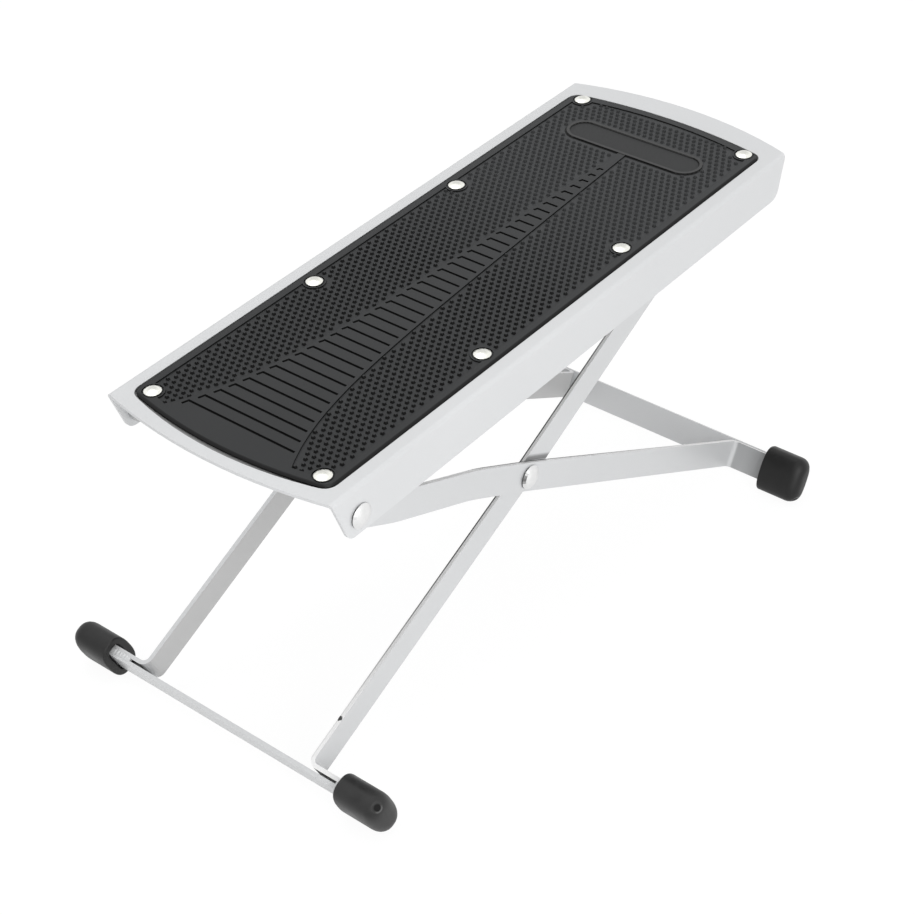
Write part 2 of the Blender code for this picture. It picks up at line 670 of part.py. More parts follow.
def leg_stretches(leg_length, across, cap_half_span):
    # From the middle rivet down to the foot, where the strip turns outwards into a tab
    half = STRIP_WIDTH / 2
    straight = leg_length - STACK_OFFSET - BEND_RADIUS
    tab = cap_half_span + CAP_GRIP - across - BEND_RADIUS
    return [(straight, 0.0, half), (BEND_RADIUS * math.pi / 2, math.pi / 2, half), (tab, 0.0, half)]


def build_rear_arm(name, side, material, parent):
    half = STRIP_WIDTH / 2
    shift = REAR_PIVOT_OFFSET - REAR_ARM_OFFSET
    curves_shift = 2 * JOGGLE_RADIUS * (1 - math.cos(JOGGLE_ANGLE))
    slope = (shift - curves_shift) / math.sin(JOGGLE_ANGLE)
    joggle_along = 2 * JOGGLE_RADIUS * math.sin(JOGGLE_ANGLE) + slope * math.cos(JOGGLE_ANGLE)
    curve = JOGGLE_RADIUS * JOGGLE_ANGLE
    stations = round_end(-ARM_PIVOT_SPAN, REAR_PIVOT_OFFSET, half)
    walk(stations, [
        (JOGGLE_START, 0.0, half),
        (curve, -JOGGLE_ANGLE, half),
        (slope, 0.0, half),
        (curve, JOGGLE_ANGLE, half),
        (ARM_PIVOT_SPAN - JOGGLE_START - joggle_along, 0.0, half),
    ])
    walk(stations, leg_stretches(REAR_LEG_LENGTH, REAR_ARM_OFFSET, REAR_CAP_HALF_SPAN))
    arm = make_object(name, bent_strip(stations, REAR_LEG_KINK, side), material, parent)
    wide = PLATFORM_WIDTH / 2
    pivot = cross_pin(PIVOT_SHANK / 2 + SEAT_GAP, wide, -ARM_PIVOT_SPAN)
    combine(arm, "DIFFERENCE", name + "_pivot_hole", pivot)
    combine(arm, "DIFFERENCE", name + "_middle_hole", cross_pin(MIDDLE_SHANK / 2 + SEAT_GAP, wide))
    return arm


def build_front_arm(name, side, material, parent):
    half = STRIP_WIDTH / 2
    stations = round_end(-ARM_PIVOT_SPAN, FRONT_ARM_OFFSET, half)
    walk(stations, [(ARM_PIVOT_SPAN, 0.0, half)])
    walk(stations, leg_stretches(FRONT_LEG_LENGTH, FRONT_ARM_OFFSET, FRONT_CAP_HALF_SPAN))
    arm = make_object(name, bent_strip(stations, FRONT_LEG_KINK, side), material, parent)
    wide = PLATFORM_WIDTH / 2
    rod_hole = cross_pin(ROD_END_DIAMETER / 2 + SEAT_GAP, wide, -ARM_PIVOT_SPAN)
    combine(arm, "DIFFERENCE", name + "_rod_hole", rod_hole)
    combine(arm, "DIFFERENCE", name + "_middle_hole", cross_pin(MIDDLE_SHANK / 2 + SEAT_GAP, wide))
    return arm


def foot_place(distance, kink):
    # A place down the leg, beyond the kink, with its turn
    return (0.0, distance * math.cos(kink), -distance * math.sin(kink)), (-kink, 0.0, 0.0)


def build_crossbar(name, leg_length, kink, cap_half_span, material, parent):
    place, turn = foot_place(leg_length + STACK_OFFSET, kink)
    section = rectangle(STRIP_THICKNESS / 2, STRIP_WIDTH / 2)
    half_span = cap_half_span + CAP_GRIP
    return make_object(name, prism(section, -half_span, half_span, "X"), material, parent, place, turn)


def cap_ring(across, inset, side):
    outline = stadium(CAP_WIDTH - 2 * inset, CAP_THICKNESS - 2 * inset)
    return [(side * across, thin, wide) for wide, thin in outline]


def dimple_shape(side, mouth):
    # A cap is one moulding, so its mark faces outwards on the right and inwards on the left
    face = CAP_THICKNESS / 2
    place = [(side * (mouth + CAP_DIMPLE_FROM_MOUTH), 0.0)]
    shape = rods(place, CAP_DIMPLE / 2, face - CAP_DIMPLE_DEPTH, face + OVERRUN)
    bmesh.ops.rotate(shape, verts=shape.verts, matrix=Matrix.Rotation(-side * math.pi / 2, 3, "X"))
    return shape


def build_cap(name, side, leg_length, kink, cap_half_span, material, parent):
    # A rubber cap pushed over the tab and the crossbar's end
    place, turn = foot_place(leg_length, kink)
    mouth = cap_half_span
    end = mouth + CAP_LENGTH
    rings = []
    for angle in np.linspace(0.0, math.pi / 2, CAP_MOUTH_STEPS + 1):
        shrink = CAP_MOUTH_ROUND * (1 - math.sin(angle))
        rings.append(cap_ring(mouth + CAP_MOUTH_ROUND * (1 - math.cos(angle)), shrink, side))
    for angle in np.linspace(0.0, math.pi / 2, ARC_STEPS + 1):
        shrink = CAP_END_ROUND * (1 - math.cos(angle))
        rings.append(cap_ring(end - CAP_END_ROUND * (1 - math.sin(angle)), shrink, side))
    cap = make_object(name, loft(rings), material, parent, place, turn)
    section = rectangle(STRIP_THICKNESS / 2 + STACK_OFFSET + SEAT_GAP, STRIP_WIDTH / 2 + SEAT_GAP)
    slot_end = mouth + CAP_GRIP + SEAT_GAP
    slot = prism(section, side * (mouth - OVERRUN), side * slot_end, "X")
    combine(cap, "DIFFERENCE", name + "_slot", slot)
    combine(cap, "DIFFERENCE", name + "_dimple", dimple_shape(side, mouth))
    return cap


def build_frame_rivets(name, spots, sizes, material, parent):
    # spots holds the seat of the head and the seat of the tail, across the part
    head, head_dome, shank, tail, tail_height = sizes
    seat, under = spots
    for side_name, side in SIDES:
        shape = rivet_shape(head, head_dome, shank, seat - under, tail, tail_height, ROUND_SEGMENTS)
        place, turn = (side * seat, 0.0, 0.0), (0.0, side * math.pi / 2, 0.0)
        make_object(f"{name}_{side_name}", shape, material, parent, place, turn)


# Standing on the floor

def cap_reach(lean):
    # How far a cap reaches below and beside its middle when its leg leans by this angle
    radius = CAP_THICKNESS / 2
    straight = CAP_WIDTH / 2 - radius
    return radius + straight * abs(math.cos(lean)), radius + straight * abs(math.sin(lean))


def heading_point(distance, angle):
    return Vector((distance * math.cos(angle), distance * math.sin(angle)))


def find_stance():
    # The platform's tilt that sets both pairs of caps on the floor, and the place of
    # its pivot (Y, Z) with the whole footrest centred over the origin
    front_lean = math.pi + FRONT_ARM_ANGLE - FRONT_LEG_KINK
    rear_lean = -REAR_ARM_ANGLE - REAR_LEG_KINK
    middle = heading_point(ARM_PIVOT_SPAN, -REAR_ARM_ANGLE)
    front_foot = middle + heading_point(FRONT_LEG_LENGTH, front_lean)
    rear_foot = middle + heading_point(REAR_LEG_LENGTH, rear_lean)
    line = rear_foot - front_foot
    tilt = 0.0
    for _ in range(STANCE_STEPS):
        rise = cap_reach(rear_lean + tilt)[0] - cap_reach(front_lean + tilt)[0]
        tilt = math.asin(rise / line.length) - math.atan2(line.y, line.x)
    turn = Matrix.Rotation(tilt, 2)
    front, rear = turn @ front_foot, turn @ rear_foot
    front_down, front_out = cap_reach(front_lean + tilt)
    rear_out = cap_reach(rear_lean + tilt)[1]
    high_tip = turn @ Vector((HIGH_END + HIGH_END_BOW, TRAY_TOP - SHEET))
    low_tip = turn @ Vector((LOW_END - LOW_END_BOW, TRAY_TOP))
    low = min(front.x - front_out, low_tip.x)
    high = max(rear.x + rear_out, high_tip.x)
    return tilt, -(low + high) / 2, front_down - front.y


def build_feet(frame, leg_length, kink, cap_half_span, materials, axis):
    build_crossbar(f"{frame}_crossbar", leg_length, kink, cap_half_span, materials["frame"], axis)
    for side_name, side in SIDES:
        name = f"{frame}_cap_{side_name}"
        build_cap(name, side, leg_length, kink, cap_half_span, materials["cap"], axis)


def build_rear_frame(materials, axis):
    for side_name, side in SIDES:
        build_rear_arm(f"rear_arm_{side_name}", side, materials["frame"], axis)
    build_feet("rear", REAR_LEG_LENGTH, REAR_LEG_KINK, REAR_CAP_HALF_SPAN, materials, axis)
    half = STRIP_THICKNESS / 2 + SEAT_GAP
    sizes = (MIDDLE_HEAD, MIDDLE_DOME, MIDDLE_SHANK, MIDDLE_TAIL, MIDDLE_TAIL_HEIGHT)
    spots = (REAR_ARM_OFFSET + half, FRONT_ARM_OFFSET - half)
    build_frame_rivets("middle_rivet", spots, sizes, materials["rivet"], axis)


def build_front_frame(materials, axis):
    for side_name, side in SIDES:
        build_front_arm(f"front_arm_{side_name}", side, materials["frame"], axis)
    build_feet("front", FRONT_LEG_LENGTH, FRONT_LEG_KINK, FRONT_CAP_HALF_SPAN, materials, axis)
    build_rod(materials["rivet"], axis)


def build_platform(materials, axis):
    build_tray(materials["tray"], axis)
    build_mat(materials["mat"], axis)
    build_mat_rivets(materials["rivet"], axis)
    for side_name, side in SIDES:
        build_rack(f"rack_{side_name}", side, materials["rack"], axis)


def main():
    clear_scene()
    materials = make_materials()
    tilt, pivot_along, pivot_height = find_stance()
    rear_turn = tilt - REAR_ARM_ANGLE
    middle = Vector((pivot_along, pivot_height)) + heading_point(ARM_PIVOT_SPAN, rear_turn)
    rear_axis = make_axis("rear_frame_axis", (0.0, middle.x, middle.y), rear_turn)
    front_turn = math.pi + FRONT_ARM_ANGLE + REAR_ARM_ANGLE
    front_axis = make_axis("front_frame_axis", (0.0, 0.0, 0.0), front_turn, rear_axis)
    pivot_axis = make_axis("pivot_axis", (0.0, -ARM_PIVOT_SPAN, 0.0), REAR_ARM_ANGLE, rear_axis)
    platform_axis = make_axis("platform_axis", (0.0, 0.0, 0.0), 0.0, pivot_axis)
    build_rear_frame(materials, rear_axis)
    build_front_frame(materials, front_axis)
    build_platform(materials, platform_axis)
    sizes = (PIVOT_HEAD, PIVOT_DOME, PIVOT_SHANK, PIVOT_TAIL, PIVOT_TAIL_HEIGHT)
    spots = (PLATFORM_WIDTH / 2 + SEAT_GAP, REAR_PIVOT_OFFSET - STRIP_THICKNESS / 2 - SEAT_GAP)
    build_frame_rivets("pivot_rivet", spots, sizes, materials["rivet"], pivot_axis)


main()
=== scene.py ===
# Folding guitar footrest on a white studio floor: paint, rubber and plated steel on the
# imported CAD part, with the mat's pips, softer foot caps and weld beads. Metres, Z up.
import json
import math

import bmesh
import bpy
from mathutils import Matrix, Quaternion, Vector


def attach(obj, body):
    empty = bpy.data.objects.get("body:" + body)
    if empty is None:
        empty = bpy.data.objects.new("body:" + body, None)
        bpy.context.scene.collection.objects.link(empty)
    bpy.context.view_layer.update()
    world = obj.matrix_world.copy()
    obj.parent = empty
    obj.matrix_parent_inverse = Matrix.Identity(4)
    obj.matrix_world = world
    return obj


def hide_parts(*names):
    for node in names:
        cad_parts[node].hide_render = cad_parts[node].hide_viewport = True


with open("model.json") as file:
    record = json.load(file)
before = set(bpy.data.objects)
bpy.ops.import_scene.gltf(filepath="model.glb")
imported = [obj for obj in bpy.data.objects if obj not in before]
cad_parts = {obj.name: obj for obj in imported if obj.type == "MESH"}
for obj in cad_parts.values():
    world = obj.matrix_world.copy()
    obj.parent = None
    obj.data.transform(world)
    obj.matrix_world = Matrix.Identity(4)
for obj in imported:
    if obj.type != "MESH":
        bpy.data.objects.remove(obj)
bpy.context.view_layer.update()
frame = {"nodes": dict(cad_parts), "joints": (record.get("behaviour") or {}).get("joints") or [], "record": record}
nodes, record = frame["nodes"], frame["record"]

mm = 0.001

# The platform's own frame: across, along from the pivot rivets, and up from them
jointPlace = {joint["name"]: Vector(joint["pos_m"]) for joint in frame["joints"]}
platformPivot, middlePivot = jointPlace["platform_turn"], jointPlace["leg_fold"]
platformUp = Vector(record["mounts"][0]["axis"])
platformTilt = math.atan2(-platformUp.y, platformUp.z)
platformFrame = Matrix.Translation(platformPivot) @ Matrix.Rotation(platformTilt, 4, "X")
lowEnd = -11.6 * mm                                     # from the pivot rivets to the low end

# Up from the rear arms, square to the line through their two rivets
rearLine = platformPivot - middlePivot
rearUp = Vector((0, -rearLine.z, rearLine.y)).normalized() * math.copysign(1, rearLine.y)

# The mat, measured from the low end of the platform; ladder is its middle band of grooves
field = {"halfWidth": 40.4 * mm, "low": 5.5 * mm, "length": 244.0 * mm, "rim": 3.4 * mm, "lowBow": 5.2 * mm,
         "highBow": 4.6 * mm, "clear": 0.15 * mm, "bottom": 11.3 * mm}
ladder = {"start": 12.4 * mm, "tip": 221.5 * mm, "taper": 12.2 * mm, "flare": 12.0 * mm, "lean": 0.8 * mm,
          "decay": 28.0 * mm, "edge": 1.3 * mm, "hookEdge": 1.9 * mm}
badge = {"length": 60.5 * mm, "width": 14.0 * mm, "middle": 228.5 * mm}
matRivets = {"first": 9.1 * mm, "pitch": 79.3 * mm, "half": 37.85 * mm, "pad": 4.3 * mm, "rows": 4}

# The feet: mouth is a cap's open end and innerFace an arm's inner face, both from the middle
# plane; middle is where a cap's axis crosses y and z; lean is how far its wide side leans from
# upright, in degrees; markEdge is which narrow edge has the right cap's mark, 1 for the upper,
# and the left cap has it on the other; tab is how light the tab's painted shade is, at its bend and at the cap
feet = {
    "front": {"body": "front_frame", "mouth": 55.0 * mm, "middle": (-128.788 * mm, 9.038 * mm),
              "lean": 29.32, "innerFace": 38.7 * mm, "markEdge": 1, "tab": (0.12, 0.12)},
    "rear": {"body": "rear_frame", "mouth": 58.2 * mm, "middle": (127.111 * mm, 9.194 * mm),
             "lean": -23.83, "innerFace": 40.6 * mm, "markEdge": -1, "tab": (0.45, 0.33)}}
sides = {"left": -1, "right": 1}


def footPlace(foot, side, along, wide, thin):
    # along is measured outwards from the cap's mouth
    lean = math.radians(foot["lean"])
    y = foot["middle"][0] - wide * math.sin(lean) + thin * math.cos(lean)
    z = foot["middle"][1] + wide * math.cos(lean) + thin * math.sin(lean)
    return Vector((side * (foot["mouth"] + along), y, z))


# Shader maths

class Wire:
    # A socket that can be used in expressions; each operation adds a Math node
    def __init__(self, tree, socket):
        self.tree, self.socket = tree, socket

    def maths(self, operation, *values):
        node = self.tree.nodes.new("ShaderNodeMath")
        node.operation = operation
        for slot, value in zip(node.inputs, values):
            if isinstance(value, Wire):
                self.tree.links.new(value.socket, slot)
            else:
                slot.default_value = value
        return Wire(self.tree, node.outputs[0])

    def __add__(self, other):
        return self.maths("ADD", self, other)

    def __sub__(self, other):
        return self.maths("SUBTRACT", self, other)

    def __rsub__(self, other):
        return self.maths("SUBTRACT", other, self)

    def __mul__(self, other):
        return self.maths("MULTIPLY", self, other)

    def __truediv__(self, other):
        return self.maths("DIVIDE", self, other)

    def __pow__(self, other):
        return self.maths("POWER", self, other)

    def __mod__(self, other):
        return self.maths("FLOORED_MODULO", self, other)

    def __abs__(self):
        return self.maths("ABSOLUTE", self)

    __radd__, __rmul__ = __add__, __mul__

    def sign(self):
        return self.maths("SIGN", self)

    def smaller(self, other):
        return self.maths("MINIMUM", self, other)

    def larger(self, other):
        return self.maths("MAXIMUM", self, other)


class Graph:
    # A node tree; all its nodes but the Math nodes come from one method
    def __init__(self, tree):
        self.tree = tree

    def fill(self, node, values):
        for name, value in values.items():
            if isinstance(value, Wire):
                self.tree.links.new(value.socket, node.inputs[name])
            else:
                node.inputs[name].default_value = value

    def node(self, kind, settings, inputs, output=0):
        node = self.tree.nodes.new("ShaderNode" + kind)
        for name, value in settings.items():
            setattr(node, name, value)
        self.fill(node, inputs)
        return Wire(self.tree, node.outputs[output])

    def lightPath(self, ray):
        return self.node("LightPath", {}, {}, ray)


noiseRange = (0.3, 0.7)                                 # where most of a noise lies


class Finish(Graph):
    # A material, its node tree and its Principled shader
    def __init__(self, name, constants):
        self.material = bpy.data.materials.new(name)
        self.material.use_nodes = True
        super().__init__(self.material.node_tree)
        self.shader = self.tree.nodes["Principled BSDF"]
        self.fill(self.shader, constants)

    def place(self):
        return self.node("TexCoord", {}, {}, "Object")

    def component(self, vector, axis):
        return self.node("SeparateXYZ", {}, {"Vector": vector}, axis)

    def platformPlace(self):
        # Object coordinates turned into the platform's own frame: across, from the low end, up
        turned = {"Vector": self.place(), "Location": platformFrame @ Vector((0, lowEnd, 0)),
                  "Rotation": (platformTilt, 0.0, 0.0)}
        vector = self.node("Mapping", {"vector_type": "TEXTURE"}, turned)
        return [self.component(vector, axis) for axis in range(3)]

    def sideways(self):
        # How far right of the middle plane a place is
        return self.component(self.place(), 0)

    def dot(self, vector, direction):
        return self.node("VectorMath", {"operation": "DOT_PRODUCT"}, {0: vector, 1: direction}, "Value")

    def facing(self, direction):
        # 1 where the surface faces that way, 0 where it is square to it
        return self.dot(self.node("NewGeometry", {}, {}, "Normal"), direction)

    def distance(self, point):
        return self.node("VectorMath", {"operation": "DISTANCE"}, {0: self.place(), 1: point}, "Value")

    def noise(self, size, detail, roughness=0.5):
        values = {"Vector": self.place(), "Scale": 1 / size, "Detail": detail, "Roughness": roughness}
        return self.node("TexNoise", {}, values)

    def spread(self, value, low, high, fromLow=noiseRange[0], fromHigh=noiseRange[1]):
        # Maps fromLow..fromHigh to low..high
        return self.node("MapRange", {}, {0: value, 1: fromLow, 2: fromHigh, 3: low, 4: high})

    def rising(self, value, start=noiseRange[0], end=noiseRange[1]):
        return self.spread(value, 0, 1, start, end)

    def falling(self, value, start, end):
        return self.spread(value, 1, 0, start, end)

    def mix(self, factor, first, second):
        return self.node("Mix", {"data_type": "RGBA"}, {0: factor, 6: first, 7: second}, 2)

    def bump(self, height, depth, under=None):
        # under is the Bump node that this one lies on
        values = {"Height": height, "Distance": depth}
        if under:
            values["Normal"] = under
        return self.node("Bump", {}, values)


def grey(level, warmth=0.0):
    return (level * (1 + warmth), level, level * (1 - warmth), 1.0)


def insideMat(across, along):
    # How far inside the mat's outer edge a place is, in its own plane
    halfWidth = field["halfWidth"] + field["rim"]
    bow = 1 - (across / halfWidth) ** 2
    lowEdge = along - field["low"] + field["lowBow"] * bow
    highEdge = field["low"] + field["length"] + field["highBow"] * bow - along
    return lowEdge.smaller(highEdge).smaller(halfWidth - abs(across))


# Silver-grey paint

# inner is the painted shade on faces turned inwards
paint = {"light": 0.755, "dark": 0.712, "warmth": -0.012, "cloud": 60 * mm, "dull": 0.96,
         "flake": 0.35 * mm, "glint": 1.06, "glintShare": 0.25, "metal": (0.1, 0.35),
         "rough": (0.36, 0.46), "peel": 1.4 * mm, "peelDepth": 0.012 * mm, "inner": 0.57,
         "innerFacing": (0.6, 0.9)}
# Painted shade in the mat's recess, where shadow falls
recessShade = {"shade": 0.29, "top": 11.3 * mm, "floor": 11.1 * mm, "gap": 1.5 * mm, "soft": 0.1 * mm}
# outerFacing and edgeFacing are how much a face is turned inwards; cornerSoft is in shares of
# the corner's width; cornerNear and cornerFar are from the point between the middle rivets
# edge is a painted highlight on the narrow edges, as if they mirrored the light
arm = {"edge": 0.95, "edgeFacing": (0.3, 0.6), "rightFrom": 0.01 * mm, "corner": 0.08,
       "cornerWidth": 0.5 * mm, "cornerSoft": (0.4, 0.6), "cornerNear": 55 * mm, "cornerFar": 115 * mm,
       "cornerLeast": 0.15, "tabStart": 1.8 * mm, "tabEnd": 3.5 * mm, "tabFacing": (0.2, 0.5),
       "tabFade": 10 * mm, "outerFacing": (-0.9, -0.6)}
# Painted shade just above a rear arm's upper edge
crossingShade = {"shade": 0.12, "strength": 0.75, "start": 5.5 * mm, "sharp": 0.2 * mm, "end": 8.0 * mm,
       "fade": 1.2 * mm}
chip = {"shade": 0.05, "place": (39.2 * mm, -114.6 * mm, 23.4 * mm), "size": 1.0 * mm, "ragged": 0.8 * mm,
        "whole": 0.8}


def painted(level):
    return grey(level, paint["warmth"])


def silverPaint(name, level, tone):
    # Enamel with fine metal flake and a faint orange peel; tone adds what differs on a piece
    finish = Finish(name, {"IOR": 1.5})
    cloud = finish.noise(paint["cloud"], detail=3)
    flake = finish.noise(paint["flake"], detail=1)
    glint = finish.spread(flake, 0, paint["glintShare"])
    shade = finish.mix(finish.rising(cloud), painted(level * paint["dull"]), painted(level))
    shade = finish.mix(glint, shade, painted(level * paint["glint"]))
    finish.fill(finish.shader, {
        "Base Color": tone(finish, shade), "Metallic": finish.spread(flake, *paint["metal"]),
        "Roughness": finish.spread(cloud, *paint["rough"]),
        "Normal": finish.bump(finish.noise(paint["peel"], detail=2), paint["peelDepth"])})
    return finish.material


def trayTone(finish, shade):
    # Painted shade: greyer in the mat's recess, out to a small gap past the mat's edge
    across, along, height = finish.platformPlace()
    inRecess = finish.falling(height, recessShade["floor"], recessShade["top"])
    inRecess = inRecess * finish.rising(insideMat(across, along) + recessShade["gap"], 0, recessShade["soft"])
    return finish.mix(inRecess, shade, grey(recessShade["shade"]))


def turnedIn(finish):
    # 1 where the surface faces the middle plane, -1 where it faces away from it
    return finish.facing((-1, 0, 0)) * finish.sideways().sign()


def frameTone(finish, shade):
    # Painted shade: greyer on the faces turned inwards, where the platform's shadow falls
    inward = finish.rising(turnedIn(finish), *paint["innerFacing"])
    return finish.mix(inward, shade, grey(paint["inner"]))


def armTone(foot):
    def tone(finish, shade):
        shade = frameTone(finish, shade)
        sideways, inward = finish.sideways(), turnedIn(finish)
        outwards = abs(sideways)

        # Painted highlight makes the right arm's narrow edges bright; along the inner corner they are darker, most
        # near the middle rivets
        onEdge = finish.falling(abs(inward), *arm["edgeFacing"])
        onEdge = onEdge * finish.rising(sideways, 0, arm["rightFrom"])
        shade = finish.mix(onEdge, shade, grey(arm["edge"]))
        offCorner = abs(sideways - foot["innerFace"] - arm["cornerWidth"] / 2) / arm["cornerWidth"]
        thinned = finish.falling(offCorner, *arm["cornerSoft"])
        nearMiddle = finish.spread(finish.distance(middlePivot), 1, arm["cornerLeast"],
                             arm["cornerNear"], arm["cornerFar"])
        shade = finish.mix(onEdge * thinned * nearMiddle, shade, grey(arm["corner"]))

        # Painted shade: the tab's forward face is darker, a rear arm's most of all near the cap
        lean = math.radians(foot["lean"])
        forward = finish.facing((0, -math.cos(lean), -math.sin(lean)))
        pastBend = finish.rising(outwards - foot["innerFace"], arm["tabStart"], arm["tabEnd"])
        nearCap = finish.rising(outwards, foot["mouth"] - arm["tabFade"], foot["mouth"])
        tabShade = finish.mix(nearCap, *[painted(level) for level in foot["tab"]])
        onTab = pastBend * finish.rising(forward, *arm["tabFacing"])
        shade = finish.mix(onTab, shade, tabShade)

        # Painted shade: a dark band on the outer face, along a rear arm's upper edge, where the front arm passes
        # behind it
        rise = finish.dot(finish.place(), rearUp) - rearUp.dot(middlePivot)
        crossingShadow = finish.rising(rise, crossingShade["start"], crossingShade["start"] + crossingShade["sharp"])
        crossingShadow = crossingShadow * finish.falling(rise, crossingShade["end"] - crossingShade["fade"], crossingShade["end"])
        crossingShadow = crossingShadow * finish.falling(inward, *arm["outerFacing"]) * crossingShade["strength"]
        shade = finish.mix(crossingShadow, shade, grey(crossingShade["shade"]))

        # One chip, low on the right front arm
        away = finish.distance(chip["place"]) / chip["size"]
        ragged = away + finish.noise(chip["ragged"], detail=2) - 0.5
        return finish.mix(finish.falling(ragged, chip["whole"], 1), shade, grey(chip["shade"]))
    return tone


# Rubber

# start and end are shares of the mat's length, top and groove heights are from the pivot
# rivets, and edgeStart and edgeEnd are how far inside the mat's outer edge a place is
# low and high are the top's shade at the low and high end, the rise a painted sheen; side and deep are painted
# shade
rubber = {"cool": -0.03, "low": 0.031, "high": 0.051, "patchy": 0.4, "dust": 0.0714, "dustShare": 0.2,
          "side": 0.005, "deep": 0.003, "upward": (0.5, 0.95), "grooveBottom": 11.12 * mm,
          "grooveTop": 11.24 * mm, "edgeStart": 0.48 * mm, "edgeEnd": 1.2 * mm, "grain": 0.25 * mm,
          "grainDepth": 0.03 * mm, "cloud": 30 * mm, "rough": (0.6, 0.75)}
farPips = {"crown": 0.037, "side": 0.05, "start": 0.5, "end": 0.75}
pipFloor = {"shade": 0.0765, "top": 11.32 * mm, "soft": 0.05 * mm, "share": (0.25, 0.8),
            "start": 0.5, "end": 0.85}
badgeLook = {"rim": 1.3 * mm, "rimShade": 0.0765, "rimShare": 0.8, "withinShare": 0.5,
             "line": 0.5 * mm, "lineSoft": 0.25 * mm, "under": 0.9 * mm, "underSoft": 0.54 * mm,
             "soft": 0.1 * mm, "turnover": 3 * mm}


def charcoal(level):
    return grey(level, rubber["cool"])


def matRubber(name, tone):
    # Charcoal rubber: satin wherever it faces up; painted shade makes it near-black on steep sides,
    # in the grooves and round the outer edge, and painted sheen lightens its top towards the high
    # end. tone turns its shade on top into a piece's own
    finish = Finish(name, {"IOR": 1.45, "Specular IOR Level": 0.3})
    across, along, height = finish.platformPlace()
    grain = finish.noise(rubber["grain"], detail=3, roughness=0.6)
    cloud = finish.noise(rubber["cloud"], detail=3)
    # Painted sheen: the top lightens towards the high end, with random patches
    sheenAndPatches = finish.rising(along / field["length"] + (cloud - 0.5) * rubber["patchy"], 0, 1)
    top = finish.mix(sheenAndPatches, charcoal(rubber["low"]), charcoal(rubber["high"]))
    top = finish.mix(finish.spread(grain, 0, rubber["dustShare"]), top, charcoal(rubber["dust"]))
    upward = finish.rising(finish.facing(platformUp), *rubber["upward"])
    shallow = finish.rising(height, rubber["grooveBottom"], rubber["grooveTop"])
    inside = finish.rising(insideMat(across, along), rubber["edgeStart"], rubber["edgeEnd"])
    shade = tone(finish, (across, along, height), upward, top)
    finish.fill(finish.shader, {
        "Base Color": finish.mix(shallow * inside, grey(rubber["deep"]), shade),
        "Roughness": finish.spread(grain, *rubber["rough"]),
        "Normal": finish.bump(grain, rubber["grainDepth"])})
    return finish.material


def pipTone(finish, place, upward, top):
    # Painted shade darkens the pips' sides; the contrast between crowns and sides fades to the high end
    along = place[1]
    far = finish.rising(along, field["length"] * farPips["start"], field["length"] * farPips["end"])
    crownShade = finish.mix(far, top, charcoal(farPips["crown"]))
    sideShade = finish.mix(far, grey(rubber["side"]), charcoal(farPips["side"]))
    return finish.mix(upward, sideShade, crownShade)


def fieldTone(finish, place, upward, top):
    # Painted sheen lightens the floor between the pips, most of all at the high end; painted shade darkens steep
    # sides
    across, along, height = place
    low = finish.falling(height, pipFloor["top"], pipFloor["top"] + pipFloor["soft"])
    ends = [field["length"] * pipFloor[end] for end in ("start", "end")]
    lighter = low * finish.spread(along, *pipFloor["share"], *ends)
    top = finish.mix(lighter, top, charcoal(pipFloor["shade"]))
    return badgeTone(finish, across, along, finish.mix(upward, grey(rubber["side"]), top))


def badgeTone(finish, across, along, shade):
    # Painted highlight makes the badge's rim lighter; a painted shadow line lies inside its far side and outside
    # its near side
    look = badgeLook
    pastMiddle = along - badge["middle"]
    pastStraight = (abs(across) - (badge["length"] - badge["width"]) / 2).larger(0.0)
    out = (pastStraight ** 2 + pastMiddle ** 2) ** 0.5 - badge["width"] / 2
    lineStart = -look["rim"] - look["line"]
    far = finish.rising(pastMiddle, -look["turnover"], look["turnover"])
    rimEdge = (-look["rim"], -look["rim"] + look["soft"])
    onRim = finish.rising(out, *rimEdge) * finish.falling(out, -look["soft"], 0)
    innerLine = finish.rising(out, lineStart, lineStart + look["lineSoft"])
    innerLine = innerLine * finish.falling(out, *rimEdge)
    outerLine = finish.rising(out, -look["soft"], look["soft"])
    outerLine = outerLine * finish.falling(out, look["under"] - look["underSoft"], look["under"])
    within = finish.falling(out, lineStart, -look["rim"])
    shade = finish.mix(within * look["withinShare"], shade, grey(rubber["low"]))
    shade = finish.mix(onRim * look["rimShare"], shade, grey(look["rimShade"]))
    shade = finish.mix(innerLine * far, shade, grey(rubber["side"]))
    return finish.mix(outerLine * (1 - far), shade, grey(rubber["side"]))


# shades are painted light: each cap is lighter or darker with how much light falls on it
capLook = {"shades": {"front_cap_right": 0.025, "front_cap_left": 0.014,
                      "rear_cap_right": 0.008, "rear_cap_left": 0.012},
           "patchy": 0.3, "grain": 0.3 * mm, "grainDepth": 0.02 * mm, "cloud": 7 * mm,
           "rough": (0.36, 0.5)}
# along, wide and thin are from a cap's mouth and axis, and the lip's are from there; dark and
# the last three are shares of the mark's size
mark = {"along": 17.0 * mm, "wide": 7.8 * mm, "thin": -0.5 * mm, "size": 2.1 * mm, "depth": 1.0 * mm,
        "shade": 0.008, "dark": (0.5, 0.75), "dull": 0.5,
        "lip": 0.085, "lipAlong": 0.8 * mm, "lipWide": -0.9 * mm, "lipThin": -0.1 * mm,
        "lipInner": (0.55, 0.7), "lipOuter": (0.85, 1.0), "lipReach": (0.6, 0.9)}


